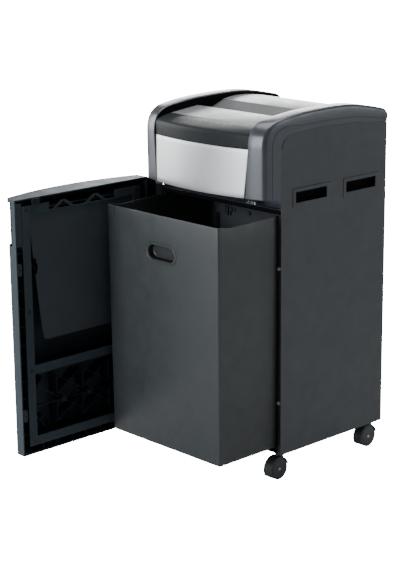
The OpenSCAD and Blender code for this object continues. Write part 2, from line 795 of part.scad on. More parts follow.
web = 2.6;                           // half the thickness of the hood's web
wheel_in = 3.2;
wheel_out = 11.5;
axle_r = 3;

module castor_hood(x, y) {
  axle = [y - trail, wheel_r];
  cover_r = wheel_r + 3.4;
  color([0.17, 0.19, 0.2]) translate([x, 0, 0]) {
    difference() {
      union() {
        rod_x(-12, 12, axle, cover_r);
        block(-8, 8, y - 8, y + 8, wheel_r, hood_top - 1);
      }
      for (s = [-1, 1]) rod_x(min(s * web, s * 13), max(s * web, s * 13), axle, wheel_r + 1);
      block(-13, 13, y - trail - 40, y + 40, -5, wheel_r * 0.35);
      block(-13, 13, y - trail + 10, y + 40, -5, wheel_r * 1.25);
      rod_x(-13, 13, axle, axle_r);
    }
    rod_z(hood_top - 1, cab_z - 1, [0, y], 8);
    rod_z(cab_z - 1, bin_z - 3, [0, y], stem_r);
  }
}

module castor_wheels(x, y) {
  axle = [y - trail, wheel_r];
  color([0.2, 0.22, 0.23]) translate([x, 0, 0]) for (s = [-1, 1]) difference() {
    union() {
      rod_x(min(s * wheel_in, s * (wheel_out - 0.8)), max(s * wheel_in, s * (wheel_out - 0.8)),
        axle, wheel_r);
      rod_x(min(s * wheel_in, s * wheel_out), max(s * wheel_in, s * wheel_out), axle,
        wheel_r - 2);
    }
    rod_x(-13, 13, axle, axle_r + run);
  }
}

module castor_axle(x, y) {
  color([0.65, 0.66, 0.68]) rod_x(x - wheel_out, x + wheel_out, [y - trail, wheel_r], axle_r);
}

module front_left_castor_hood() { castor_hood(-stem_x, stem_front); }
module front_left_castor_wheels() { castor_wheels(-stem_x, stem_front); }
module front_left_castor_axle() { castor_axle(-stem_x, stem_front); }
module front_right_castor_hood() { castor_hood(stem_x, stem_front); }
module front_right_castor_wheels() { castor_wheels(stem_x, stem_front); }
module front_right_castor_axle() { castor_axle(stem_x, stem_front); }
module rear_left_castor_hood() { castor_hood(-stem_x, stem_rear); }
module rear_left_castor_wheels() { castor_wheels(-stem_x, stem_rear); }
module rear_left_castor_axle() { castor_axle(-stem_x, stem_rear); }
module rear_right_castor_hood() { castor_hood(stem_x, stem_rear); }
module rear_right_castor_wheels() { castor_wheels(stem_x, stem_rear); }
module rear_right_castor_axle() { castor_axle(stem_x, stem_rear); }

base_tray();
left_side_panel();
right_side_panel();
back_panel();
front_crossbar();
bin_rails();
cabinet_screws();
rubber_bumpers();
head_chassis();
left_arm();
right_arm();
front_fascia();
control_panel();
touch_icons();
deck_plate();
throat_guide();
rear_hood();
rear_cover();
latch_strike();
interlock_switch();
interlock_plunger();
power_rocker();
cord_gland();
cutter_plates();
cutter_bearings();
front_cutter();
rear_cutter();
stripper_combs();
front_cutter_gear();
rear_cutter_gear();
reduction_gear();
motor();
motor_pinion();
motor_fan();
capacitor();
control_board();
door_shell();
door_ribs();
door_frame();
door_liner();
door_grip();
door_latch();
door_pads();
door_screws();
door_hinge_knuckles();
cabinet_hinge_brackets();
hinge_pins();
bin_shell();
front_left_castor_hood();
front_left_castor_wheels();
front_left_castor_axle();
front_right_castor_hood();
front_right_castor_wheels();
front_right_castor_axle();
rear_left_castor_hood();
rear_left_castor_wheels();
rear_left_castor_axle();
rear_right_castor_hood();
rear_right_castor_wheels();
rear_right_castor_axle();
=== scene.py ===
import json
import math

import bmesh
import bpy
from mathutils import Matrix, Vector


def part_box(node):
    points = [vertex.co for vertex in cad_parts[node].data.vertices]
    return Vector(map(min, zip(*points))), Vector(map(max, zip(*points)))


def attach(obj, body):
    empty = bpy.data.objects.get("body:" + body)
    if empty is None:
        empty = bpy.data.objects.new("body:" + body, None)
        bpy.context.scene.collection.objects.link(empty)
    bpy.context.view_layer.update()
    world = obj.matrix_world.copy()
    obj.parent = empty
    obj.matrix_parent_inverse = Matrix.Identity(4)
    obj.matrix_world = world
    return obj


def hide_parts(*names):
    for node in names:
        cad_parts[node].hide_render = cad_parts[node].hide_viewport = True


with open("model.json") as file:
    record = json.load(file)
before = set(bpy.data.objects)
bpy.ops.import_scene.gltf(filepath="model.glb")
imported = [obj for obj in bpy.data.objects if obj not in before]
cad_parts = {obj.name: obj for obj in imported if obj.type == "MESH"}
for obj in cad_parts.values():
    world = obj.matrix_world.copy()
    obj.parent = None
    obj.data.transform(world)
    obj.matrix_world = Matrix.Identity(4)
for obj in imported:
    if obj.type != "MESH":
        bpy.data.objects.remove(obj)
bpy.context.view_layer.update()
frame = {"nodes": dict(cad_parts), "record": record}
MM = 0.001

# ---------------------------------------------------------------- dimensions, in millimetres
HALF_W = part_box("right_side_panel")[1].x / MM          # outer plane of the side panels
FRONT_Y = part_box("right_side_panel")[0].y / MM         # front edge of the side panels
REAR_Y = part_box("back_panel")[1].y / MM
HEAD_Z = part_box("front_fascia")[0].z / MM - 1.5        # underside of the head
BOW_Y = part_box("front_fascia")[0].y / MM               # foremost point of the bowed front
BOW_R = 600.0
DECK_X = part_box("deck_plate")[1].x / MM
FASCIA_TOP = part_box("front_fascia")[1].z / MM


def bow(x):
    """Front of the machine in plan: an arc of radius BOW_R, foremost in the middle."""
    return BOW_Y + BOW_R - math.sqrt(BOW_R * BOW_R - x * x)


# ---------------------------------------------------------------- camera
AZIMUTH, ELEVATION, ROLL = (math.radians(a) for a in (46.88, 14.85, -0.55))
CAMERA_PLACE = (2.5192, -2.5932, 1.3517)               # metres
LENS, SENSOR = 102.0, 36.0
camera = bpy.data.objects.new("camera", bpy.data.cameras.new("camera"))
bpy.context.scene.collection.objects.link(camera)
back = Vector((math.sin(AZIMUTH) * math.cos(ELEVATION), -math.cos(AZIMUTH) * math.cos(ELEVATION),
               math.sin(ELEVATION)))
right = Vector((math.cos(AZIMUTH), math.sin(AZIMUTH), 0))
up = back.cross(right)
right, up = (math.cos(ROLL) * right + math.sin(ROLL) * up,
             -math.sin(ROLL) * right + math.cos(ROLL) * up)
facing = Matrix((right, up, back)).transposed().to_4x4()
camera.matrix_world = Matrix.Translation(CAMERA_PLACE) @ facing
camera.data.lens = LENS
camera.data.sensor_width = SENSOR
bpy.context.scene.camera = camera


# ---------------------------------------------------------------- materials
def material(name, colour, rough, metallic=0.0, grain=0.0, grain_size=0.5, mottle=0.12,
             rough_swing=0.06, edge=0.0, bevel=0.8, coat=0.0, coat_rough=0.1, specular=0.5,
             brushed=None, wear_and_highlight_to=None, contact=0.0):
    """A moulded, painted or bare surface: mottled colour, uneven gloss, a fine grain and soft,
    slightly worn edges, which fade to wear_and_highlight_to as wear and as a painted highlight.
    Painted shade darkens the colour where something else comes within the distance contact. Sizes
    are in millimetres, colours are linear."""
    made = bpy.data.materials.new(name)
    made.use_nodes = True
    tree = made.node_tree
    nodes, link = tree.nodes, tree.links.new
    shader = nodes["Principled BSDF"]
    shader.inputs["Metallic"].default_value = metallic
    shader.inputs["Coat Weight"].default_value = coat
    shader.inputs["Coat Roughness"].default_value = coat_rough
    shader.inputs["Specular IOR Level"].default_value = specular
    where = nodes.new("ShaderNodeTexCoord")

    def noise(size, detail, stretch=None):
        texture = nodes.new("ShaderNodeTexNoise")
        texture.inputs["Scale"].default_value = 1 / (size * MM)
        texture.inputs["Detail"].default_value = detail
        if stretch:
            mapping = nodes.new("ShaderNodeMapping")
            mapping.inputs["Scale"].default_value = stretch
            link(where.outputs["Object"], mapping.inputs["Vector"])
            link(mapping.outputs["Vector"], texture.inputs["Vector"])
        else:
            link(where.outputs["Object"], texture.inputs["Vector"])
        return texture.outputs["Fac"]

    def ranged(value, low, high):
        node = nodes.new("ShaderNodeMapRange")
        node.inputs["From Min"].default_value = 0.3
        node.inputs["From Max"].default_value = 0.7
        node.inputs["To Min"].default_value = low
        node.inputs["To Max"].default_value = high
        link(value, node.inputs["Value"])
        return node.outputs["Result"]

    tint = nodes.new("ShaderNodeMix")
    tint.data_type = "RGBA"
    tint.inputs["A"].default_value = [c * (1 - mottle) for c in colour] + [1]
    tint.inputs["B"].default_value = [min(1, c * (1 + mottle)) for c in colour] + [1]
    link(ranged(noise(90, 5), 0, 1), tint.inputs["Factor"])
    surface = tint.outputs["Result"]

    rounded = nodes.new("ShaderNodeBevel")
    rounded.samples = 4
    rounded.inputs["Radius"].default_value = bevel * MM
    # edges lightened towards wear_and_highlight_to: wear, and a painted highlight where the edge
    # colour is set lighter
    if edge:
        geometry = nodes.new("ShaderNodeNewGeometry")
        dot = nodes.new("ShaderNodeVectorMath")
        dot.operation = "DOT_PRODUCT"
        link(geometry.outputs["Normal"], dot.inputs[0])
        link(rounded.outputs["Normal"], dot.inputs[1])
        wear_and_highlight_mask = nodes.new("ShaderNodeMapRange")
        wear_and_highlight_mask.inputs["From Min"].default_value = 0.999
        wear_and_highlight_mask.inputs["From Max"].default_value = 0.86
        wear_and_highlight_mask.inputs["To Max"].default_value = edge
        link(dot.outputs["Value"], wear_and_highlight_mask.inputs["Value"])
        wear_and_highlight_mix = nodes.new("ShaderNodeMix")
        wear_and_highlight_mix.data_type = "RGBA"
        wear_and_highlight_mix.inputs["B"].default_value = [*(wear_and_highlight_to or [min(1, c * 2.2 + 0.03) for c in colour]), 1]
        link(surface, wear_and_highlight_mix.inputs["A"])
        link(wear_and_highlight_mask.outputs["Result"], wear_and_highlight_mix.inputs["Factor"])
        surface = wear_and_highlight_mix.outputs["Result"]
    # painted shade: ambient occlusion darkens the colour to near black close to other surfaces
    if contact:
        nearby = nodes.new("ShaderNodeAmbientOcclusion")
        nearby.samples = 8
        nearby.inputs["Distance"].default_value = contact * MM
        shade = nodes.new("ShaderNodeMapRange")
        shade.inputs["From Min"].default_value = 0.55
        shade.inputs["From Max"].default_value = 0.97
        shade.inputs["To Min"].default_value = 0.05
        painted_shade = nodes.new("ShaderNodeMix")
        painted_shade.data_type = "RGBA"
        painted_shade.inputs["A"].default_value = (0.002, 0.002, 0.003, 1)
        link(nearby.outputs["AO"], shade.inputs["Value"])
        link(shade.outputs["Result"], painted_shade.inputs["Factor"])
        link(surface, painted_shade.inputs["B"])
        surface = painted_shade.outputs["Result"]
    link(surface, shader.inputs["Base Color"])
    link(ranged(noise(28, 4), max(0.02, rough - rough_swing), rough + rough_swing),
         shader.inputs["Roughness"])
    bump = nodes.new("ShaderNodeBump")
    bump.inputs["Strength"].default_value = grain
    bump.inputs["Distance"].default_value = 0.1 * MM
    link(noise(grain_size, 3, brushed), bump.inputs["Height"])
    link(rounded.outputs["Normal"], bump.inputs["Normal"])
    link(bump.outputs["Normal"], shader.inputs["Normal"])
    return made


LOOKS = {
    "cabinet_paint": material("cabinet_paint", (0.036, 0.047, 0.056), 0.52, grain=0.35,
                              grain_size=0.7, edge=0.35, mottle=0.06),
    "zinc_steel": material("zinc_steel", (0.5, 0.51, 0.53), 0.35, 0.9, grain=0.2, edge=0.2),
    "rubber": material("rubber", (0.16, 0.165, 0.17), 0.75, grain=0.5, grain_size=0.9),
    "dark_plastic": material("dark_plastic", (0.02, 0.023, 0.028), 0.5, grain=0.45,
                             grain_size=0.5, edge=0.25),
    "arm_paint": material("arm_paint", (0.072, 0.079, 0.092), 0.34, 0.6, grain=0.12,
                          grain_size=0.25, edge=0.15, mottle=0.04, coat=0.15, coat_rough=0.16),
    "silver": material("silver", (0.5, 0.515, 0.53), 0.36, 0.6, grain=0.16, grain_size=0.3,
                       edge=0.1, mottle=0.015, rough_swing=0.02, brushed=(0.02, 1.0, 1.0)),
    # darker copy of silver for the deck and hood tops: painted shade against the light that falls
    # on them
    "silver_shaded_top": material("silver_shaded_top", (0.31, 0.322, 0.334), 0.38, 0.6, grain=0.2,
                            grain_size=0.35, edge=0.1, mottle=0.04),
    "control_gloss": material("control_gloss", (0.02, 0.024, 0.026), 0.36, grain=0.03,
                              grain_size=0.8, mottle=0.05, rough_swing=0.04, bevel=0.1,
                              coat=0.02, coat_rough=0.1, specular=0.05),
    "icon_print": material("icon_print", (0.14, 0.15, 0.155), 0.5, grain=0.1),
    "black_plastic": material("black_plastic", (0.01, 0.01, 0.011), 0.45, grain=0.3, edge=0.2),
    # near black: the own colour of black hooks and screws, and painted shade in slots, under the
    # head and behind the door's slit
    "black_and_painted_shade": material("black_and_painted_shade", (0.003, 0.003, 0.004), 0.85, grain=0.3,
                             specular=0.06),
    "bronze": material("bronze", (0.42, 0.28, 0.1), 0.38, 0.9, grain=0.3),
    "cutter_steel": material("cutter_steel", (0.42, 0.43, 0.45), 0.3, 1.0, grain=0.25,
                             grain_size=0.4, edge=0.3, brushed=(1.0, 0.1, 0.1)),
    "gear_nylon": material("gear_nylon", (0.62, 0.6, 0.52), 0.45, grain=0.15, edge=0.1),
    "motor_steel": material("motor_steel", (0.13, 0.14, 0.15), 0.42, 0.6, grain=0.2, edge=0.3),
    "capacitor_case": material("capacitor_case", (0.55, 0.56, 0.58), 0.3, 0.95, grain=0.1),
    "circuit_board": material("circuit_board", (0.02, 0.11, 0.045), 0.35, grain=0.2, coat=0.3),
    "door_plastic": material("door_plastic", (0.031, 0.044, 0.054), 0.5, grain=0.4,
                             grain_size=0.45, edge=0.4, mottle=0.08, specular=0.16),
    "door_screw": material("door_screw", (0.012, 0.013, 0.015), 0.35, 0.5, grain=0.1),
    # its light edge colour, wear_and_highlight_to, is a painted highlight along the ribs and thin
    # parts
    "door_inside": material("door_inside", (0.006, 0.011, 0.02), 0.5, grain=0.3, edge=0.8,
                            bevel=0.6, specular=0.3, wear_and_highlight_to=(0.05, 0.065, 0.085)),
    "liner_plastic": material("liner_plastic", (0.036, 0.045, 0.054), 0.42, grain=0.15,
                              grain_size=0.8, mottle=0.06, specular=0.35),
    # contact paints shade on the bin where the cabinet's edge and other parts come near
    "bin_plastic": material("bin_plastic", (0.029, 0.036, 0.04), 0.46, grain=0.3,
                            grain_size=0.5, edge=0.35, mottle=0.05, contact=80),
    # lighter colour for the crossbar's top and the wall behind it: painted light
    "ledge_lit_paint": material("ledge_lit_paint", (0.06, 0.08, 0.105), 0.35, 0.4, grain=0.2, edge=0.3),
    # lighter than bin_plastic: painted light on the bin's rear wall, which gets little lamp light
    "bin_back_lit": material("bin_back_lit", (0.07, 0.085, 0.1), 0.6, grain=0.3, grain_size=0.6,
                           edge=0.3, mottle=0.1, specular=0.3),
    "castor_plastic": material("castor_plastic", (0.03, 0.036, 0.04), 0.45, grain=0.3, edge=0.4),
    "step_wall": material("step_wall", (0.092, 0.097, 0.102), 0.45, grain=0.35, grain_size=0.4,
                          edge=0.15),
}


def paint(obj, look):
    """Gives obj that look and no other."""
    obj.data.materials.clear()
    obj.data.materials.append(LOOKS[look])
    return obj


# ---------------------------------------------------------------- mesh helpers
def new_mesh(name, points, faces, slot):
    """Object made of points in millimetres and faces, named, linked and painted."""
    data = bpy.data.meshes.new(name)
    data.from_pydata([[c * MM for c in p] for p in points], [], faces)
    cleaned = bmesh.new()
    cleaned.from_mesh(data)
    bmesh.ops.recalc_face_normals(cleaned, faces=cleaned.faces)
    cleaned.to_mesh(data)
    cleaned.free()
    obj = bpy.data.objects.new(name, data)
    bpy.context.scene.collection.objects.link(obj)
    obj["slot_name"] = slot
    return paint(obj, slot)


def baked(obj, smooth=38):
    """Applies the modifiers, and shades smooth except across sharp edges."""
    evaluated = obj.evaluated_get(bpy.context.evaluated_depsgraph_get())
    data = bpy.data.meshes.new_from_object(evaluated)
    obj.modifiers.clear()
    obj.data = data
    data.shade_smooth()
    data.set_sharp_from_angle(angle=math.radians(smooth))
    return obj


def eased(obj, width, segments=3, angle=35, smooth=50):
    """Rounds the edges by a bevel of that width in millimetres."""
    mod = obj.modifiers.new("bevel", "BEVEL")
    mod.width = width * MM
    mod.segments = segments
    mod.limit_method = "ANGLE"
    mod.angle_limit = math.radians(angle)
    mod.use_clamp_overlap = True
    return baked(obj, smooth)


def loft(name, rings, slot, caps=True):
    """Skin over closed rings of points, with the end rings filled."""
    n = len(rings[0])
    points = [p for ring in rings for p in ring]
    faces = [(i * n + k, i * n + (k + 1) % n, (i + 1) * n + (k + 1) % n, (i + 1) * n + k)
             for i in range(len(rings) - 1) for k in range(n)]
    if caps:
        faces += [tuple(range(n)), tuple((len(rings) - 1) * n + k for k in reversed(range(n)))]
    return new_mesh(name, points, faces, slot)


def box_points(x0, x1, y0, y1, z0, z1):
    """The eight corners of a box, in the order that BOX_FACES counts them."""
    return [(x, y, z) for x in (x0, x1) for y in (y0, y1) for z in (z0, z1)]


BOX_FACES = [(0, 1, 3, 2), (4, 6, 7, 5), (0, 4, 5, 1), (2, 3, 7, 6), (0, 2, 6, 4), (1, 5, 7, 3)]


def block(name, x0, x1, y0, y1, z0, z1, slot):
    """Plain box between those planes, to be eased or cut with."""
    return new_mesh(name, box_points(x0, x1, y0, y1, z0, z1), BOX_FACES, slot)


def prism_x(name, x0, x1, outline, slot):
    """Outline of (y, z) points carried along X."""
    return loft(name, [[(x, y, z) for y, z in outline] for x in (x0, x1)], slot)


def cut(obj, *tools):
    """Takes the tools away from obj."""
    for tool in tools:
        mod = obj.modifiers.new("cut", "BOOLEAN")
        mod.object = tool
        mod.solver = "EXACT"
    baked(obj)
    for tool in tools:
        bpy.data.objects.remove(tool)
    return obj


def joined(name, parts):
    """One object of several, for pieces moulded together."""
    first = parts[0]
    merged = bmesh.new()
    for part in parts:
        merged.from_mesh(part.data)
    data = bpy.data.meshes.new(name)
    merged.to_mesh(data)
    merged.free()
    for material_slot in first.data.materials:
        data.materials.append(material_slot)
    obj = bpy.data.objects.new(name, data)
    obj["slot_name"] = first["slot_name"]
    bpy.context.scene.collection.objects.link(obj)
    for part in parts:
        bpy.data.objects.remove(part)
    data.shade_smooth()
    data.set_sharp_from_angle(angle=math.radians(50))
    return obj


def mirrored(obj, name):
    """Mirror image of obj in the plane X = 0."""
    data = obj.data.copy()
    data.transform(Matrix.Scale(-1, 4, (1, 0, 0)))
    data.flip_normals()
    copy = bpy.data.objects.new(name, data)
    copy["slot_name"] = obj["slot_name"]
    bpy.context.scene.collection.objects.link(copy)
    return copy


def spline(points, steps):
    """Points along a smooth curve through the given ones, the last one included."""
    found = []
    for i in range(len(points) - 1):
        a, b = points[max(0, i - 1)], points[i]
        c, d = points[i + 1], points[min(len(points) - 1, i + 2)]
        for k in range(steps):
            t = k / steps
            found.append(tuple(
                0.5 * (2 * q + t * (r - p) + t * t * (2 * p - 5 * q + 4 * r - s)
                       + t * t * t * (3 * q - p - 3 * r + s))
                for p, q, r, s in zip(a, b, c, d)))
    return found + [tuple(points[-1])]


def done(obj, body, *nodes):
    """Finishes a piece: it rides on the body and stands for those CAD nodes, if any."""
    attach(obj, body)
    if nodes:
        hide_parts(*nodes)
    return obj


# ---------------------------------------------------------------- arms of the head
def arm_inner_x(z):
    """Inner edge of the right arm's face: the arm is wider at its foot."""
    return 139 + 8 * min(1, max(0, (z - HEAD_Z) / 107))


def make_arm():
    """Right arm of the head, skinned over sections that stand square to its crown."""
    # crown y, z; seam with the side panel y, z; distance of the groove from the crown
    stations = spline([
        (-220, 651.5, -170, 645.5, 23), (-220.5, 700, -170, 700, 23), (-221, 748, -170, 742, 23),
        (-220, 774, -168.5, 760, 24), (-213.5, 793, -161, 773, 26), (-200, 807, -145, 781.5, 27.5),
        (-176, 816.5, -130, 784.5, 28), (-114, 824.5, -100, 786.8, 28), (-52, 827.2, -51, 788, 28),
        (12, 827.6, 12, 787.3, 28.5), (60, 825, 60, 785, 28), (111, 816.5, 111, 780.5, 26),
        (150, 808.5, 150, 777.3, 24), (164, 804.3, 165, 775.8, 21), (170.5, 799.5, 168, 775.5, 18),
        (173, 794, 169.5, 775.2, 14)], 7)
    rings = []
    for cy, cz, sy, sz, groove in stations:
        depth = math.hypot(sy - cy, sz - cz)
        uy, uz = (sy - cy) / depth, (sz - cz) / depth
        inner = arm_inner_x(cz)
        wall = min(26, depth - 2)
        shoulder, brow = 7.5, 2.5                      # roundings of the outer and inner edge
        arc = [(HALF_W - shoulder * (1 - math.cos(a)), shoulder * (1 - math.sin(a)))
               for a in (math.radians(d) for d in range(0, 91, 15))]
        edge = [(inner + brow * (1 - math.sin(a)), brow * (1 - math.cos(a)))
                for a in (math.radians(d) for d in range(0, 91, 30))]
        section = ([(HALF_W, depth), (HALF_W, groove + 0.9), (HALF_W - 1.1, groove + 0.35),
                    (HALF_W - 1.1, groove - 0.35), (HALF_W, groove - 0.9)] + arc
                   + [(170, -0.3), (160, -0.3)] + edge
                   + [(inner, wall), (HALF_W - 5, wall), (HALF_W - 5, depth + 5),
                      (HALF_W - 2.5, depth + 5), (HALF_W - 2.5, depth)])
        front = min(1, max(0, (-140 - cy) / 70))
        front = front * front * (3 - 2 * front)
        rings.append([(x, cy + uy * d - front * (HALF_W ** 2 - x * x) / (2 * BOW_R), cz + uz * d)
                      for x, d in section])
    arm = loft("head_arm_right", rings, "arm_paint")
    arm.data.materials.append(LOOKS["black_and_painted_shade"])
    wide = len(rings[0])
    for i in range(len(rings) - 1):
        arm.data.polygons[i * wide + wide - 6].material_index = 1      # wall towards the deck
    return baked(arm, 32)


right_arm = make_arm()
left_arm = mirrored(right_arm, "head_arm_left")
done(right_arm, "cabinet", "right_arm")
done(left_arm, "cabinet", "left_arm")


# ---------------------------------------------------------------- fascia and control panel
ARM_GAP = 1.3                                          # from an arm to the parts between them


def make_fascia():
    """Bowed silver plate that leans back a little and widens towards its top."""
    columns, rows = 48, 10
    outer, low, high = [], HEAD_Z + 1.5, FASCIA_TOP - 0.6
    lean, thick = 4, 2.6
    for layer in (0, thick):
        for j in range(rows + 1):
            z = low + (high - low) * j / rows
            half = arm_inner_x(z) - ARM_GAP
            for i in range(columns + 1):
                x = -half + 2 * half * i / columns
                outer.append((x, bow(x) + layer + lean * (z - low) / (high - low), z))
    wide = columns + 1
    sheet = wide * (rows + 1)
    faces = []
    for j in range(rows):
        for i in range(columns):
            a = j * wide + i
            faces.append((a, a + 1, a + wide + 1, a + wide))
            faces.append((a + sheet, a + sheet + wide, a + sheet + wide + 1, a + sheet + 1))
    rim = ([j * wide for j in range(rows + 1)] + [rows * wide + i for i in range(1, wide)]
           + [j * wide + columns for j in range(rows - 1, -1, -1)]
           + [i for i in range(columns - 1, 0, -1)])
    faces += [(a, b, b + sheet, a + sheet) for a, b in zip(rim, rim[1:] + rim[:1])]
    return eased(new_mesh("silver_fascia", outer, faces, "silver"), 0.8, 2)


done(make_fascia(), "cabinet", "front_fascia")

DECK_FRONT = (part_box("deck_plate")[0].y / MM, 799.5)
DECK_BACK = (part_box("deck_plate")[1].y / MM, 807.5)
BAND_END = (DECK_FRONT[0] - 0.8, DECK_FRONT[1] - 0.4)  # y, z where the control band ends
BAND_CROWN = 1.2                                       # rise of the band's top above straight


def make_control_panel():
    """Bowed glossy band: an upright front, a rounded bend and a top that slopes up to the deck."""
    rings = []
    half, bend = arm_inner_x(FASCIA_TOP) - ARM_GAP, 7
    for i in range(61):
        x = -half + 2 * half * i / 60
        y0 = bow(x) + 4.2
        low, high = FASCIA_TOP + 0.4, 785.5
        section = [(y0, low), (y0, high - 6)]
        section += [(y0 + bend * (1 - math.cos(a)), high - 6 + (bend + 4) * math.sin(a))
                    for a in (math.radians(d) for d in range(10, 81, 10))]
        last_y, last_z = section[-1]
        end_y, end_z = BAND_END
        section += [(last_y + (end_y - last_y) * t,
                     last_z + (end_z - last_z) * t + BAND_CROWN * math.sin(math.pi * t))
                    for t in (0.15, 0.3, 0.5, 0.7, 0.85, 1)]
        section += [(end_y, end_z - 8), (y0 + 12, high - 12), (y0 + 3, high - 14), (y0 + 3, low)]
        rings.append([(x, y, z) for y, z in section])
    return baked(loft("control_band", rings, "control_gloss"), 40)


done(make_control_panel(), "cabinet", "control_panel")


def disc(name, x, y, z, radius, height, tilt, slot, sides=24):
    """Low round button, rounded at its rim and tilted about X."""
    profile = [(radius, 0), (radius, height * 0.6), (radius * 0.9, height)]
    rings = []
    for r, h in profile:
        ring = []
        for k in range(sides):
            a = 2 * math.pi * k / sides
            px, py = r * math.cos(a), r * math.sin(a)
            ring.append((x + px, y + py * math.cos(tilt) - h * math.sin(tilt),
                         z + py * math.sin(tilt) + h * math.cos(tilt)))
        rings.append(ring)
    return loft(name, rings, slot)


def make_icons():
    """Eight plain touch marks in a bowed row on the band's top, two of them bars."""
    marks = []
    first_x, pitch = -64, 18.4
    low, rise = 790.3, 8.8                             # height of the band's top at its bend
    for i in range(8):
        x = first_x + pitch * i
        y = -204 + bow(x) - BOW_Y
        front = bow(x) + 10
        reach = (y - front) / (BAND_END[0] - front)
        z = low + rise * reach + BAND_CROWN * math.sin(math.pi * reach)
        tilt = math.atan2(rise + BAND_CROWN * math.pi * math.cos(math.pi * reach),
                          BAND_END[0] - front)
        if i in (1, 5):
            for k in (-1, 1):
                marks.append(disc("mark", x + k * 1.8, y, z - 0.1, 1.3, 0.35, tilt, "icon_print"))
        else:
            marks.append(disc("mark", x, y, z - 0.1, 2.2, 0.35, tilt, "icon_print"))
    return joined("touch_marks", marks)


done(make_icons(), "cabinet", "touch_icons")


# ---------------------------------------------------------------- deck, feed and rear hood
def slab(name, outline, half, slot, ease=0.9):
    """Outline of (y, z) points carried across the head, with eased edges."""
    return eased(prism_x(name, -half, half, outline, slot), ease, 3)


# the deck and the hood take the darker silver copy as painted shade
done(slab("deck_strip", [DECK_FRONT, DECK_BACK, (DECK_BACK[0], DECK_BACK[1] - 4),
                         (DECK_FRONT[0], DECK_FRONT[1] - 4)], DECK_X, "silver_shaded_top"),
     "cabinet", "deck_plate")


def make_rear_hood():
    """Domed silver plate behind the paper feed."""
    top = spline([(-19.5, 813), (5, 816.2), (35, 817), (70, 814.8), (110, 808.5), (150, 799.5),
                  (166, 795.5), (172.5, 791.5)], 5)
    under = [(y, z - 3.6) for y, z in reversed(top)]
    return slab("rear_top", top + under, DECK_X, "silver_shaded_top", 0.8)


done(make_rear_hood(), "cabinet", "rear_hood")


# ---------------------------------------------------------------- side panels
SLOT_MIDS = (-76, 85)                                  # y of the middle of each hand slot
SLOT_HALF = 49
SLOT_Z = (632, 656)
GROOVE_TOP = 665.9


def make_side_panel():
    """Painted steel side with two hand slots, each with a groove pressed above and before it."""
    edge = spline([(FRONT_Y, 740), (FRONT_Y + 1, 753), (FRONT_Y + 8, 769), (FRONT_Y + 25, 781),
                   (FRONT_Y + 56, 785.6), (FRONT_Y + 119, 787.6), (FRONT_Y + 199, 786),
                   (FRONT_Y + 275, 781), (REAR_Y, 774.8)], 6)
    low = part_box("right_side_panel")[0].z / MM
    outline = [(FRONT_Y, low)] + edge + [(REAR_Y, low)]
    panel = prism_x("steel_side_right", HALF_W - 2.2, HALF_W, outline, "cabinet_paint")
    tools = []
    for mid in SLOT_MIDS:
        tools.append(block("tool", HALF_W - 9, HALF_W + 9, mid - SLOT_HALF, mid + SLOT_HALF,
                           *SLOT_Z, "cabinet_paint"))
        for y0, y1, z0 in ((mid - 60, mid - 57.8, 622), (mid - 60, mid + 57, 663.7)):
            tools.append(block("tool", HALF_W - 1.9, HALF_W + 1, y0, y1, z0, GROOVE_TOP,
                               "cabinet_paint"))
    cut(panel, *tools)
    eased(panel, 0.35, 2, 30, 18)
    lips = [block("lip", HALF_W - 8.6, HALF_W - 1.3, FRONT_Y, FRONT_Y + 1.2, low + 4, 610,
                  "black_plastic"),
            block("lip", HALF_W - 8.6, HALF_W - 1.3, FRONT_Y + 1.2, REAR_Y - 1.6, low, low + 1.2,
                  "black_plastic")]
    return panel, joined("folded_edge_right", lips)


right_side, right_lip = make_side_panel()
done(mirrored(right_side, "steel_side_left"), "cabinet", "left_side_panel")
done(mirrored(right_lip, "folded_edge_left"), "cabinet")
done(right_side, "cabinet", "right_side_panel")
done(right_lip, "cabinet")


# ---------------------------------------------------------------- bin
BIN_LOW, BIN_HIGH = (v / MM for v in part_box("bin_shell"))
GRIP = (84, 32)                                        # width and height of the finger hole
GRIP_Z = 528
SLIT_X = (-154, -152.4)                                # narrow slit near the front's left edge


def rim_dip(y, y0):
    """How far the rim of a side wall dips behind the front corner."""
    run = y - y0
    return 5.2 * math.sin(math.pi * min(1, run / 84)) ** 2 if run < 42 else (
        5.2 * max(0, 1 - (run - 42) / 160) ** 1.3)


def round_rect(half_x, y0, y1, z, radius, rear_radius, dip=0, steps=6):
    """Points round a rectangle with round corners, anticlockwise from above."""
    points = []
    for side in (1, -1):
        corners = [(half_x, y0, radius, -90), (half_x, y1, rear_radius, 0)]
        half = []
        for cx, cy, r, start in corners:
            inward = 1 if start else -1
            for k in range(steps + 1):
                a = math.radians(start + 90 * k / steps)
                half.append((cx - r + r * math.cos(a), cy + inward * r + r * math.sin(a)))
            if start:
                half += [(cx, cy + r + (y1 - rear_radius - y0 - radius) * t)
                         for t in (0.04, 0.08, 0.12, 0.16, 0.2, 0.3, 0.4, 0.5, 0.6, 0.8)]
        if side < 0:
            half = [(-x, y) for x, y in reversed(half)]
        points += [(x, y, z - dip * (rim_dip(y, y0) if abs(x) > half_x - 0.5 else 0))
                   for x, y in half]
    return points


def stadium(width, height, steps=10):
    """Points of a slot shape about the origin, in X and Z."""
    run = (width - height) / 2
    points = []
    for side in (1, -1):
        for k in range(steps + 1):
            a = math.radians(-90 + 180 * k / steps) + (0 if side > 0 else math.pi)
            points.append((side * run + height / 2 * math.cos(a), height / 2 * math.sin(a)))
    return points


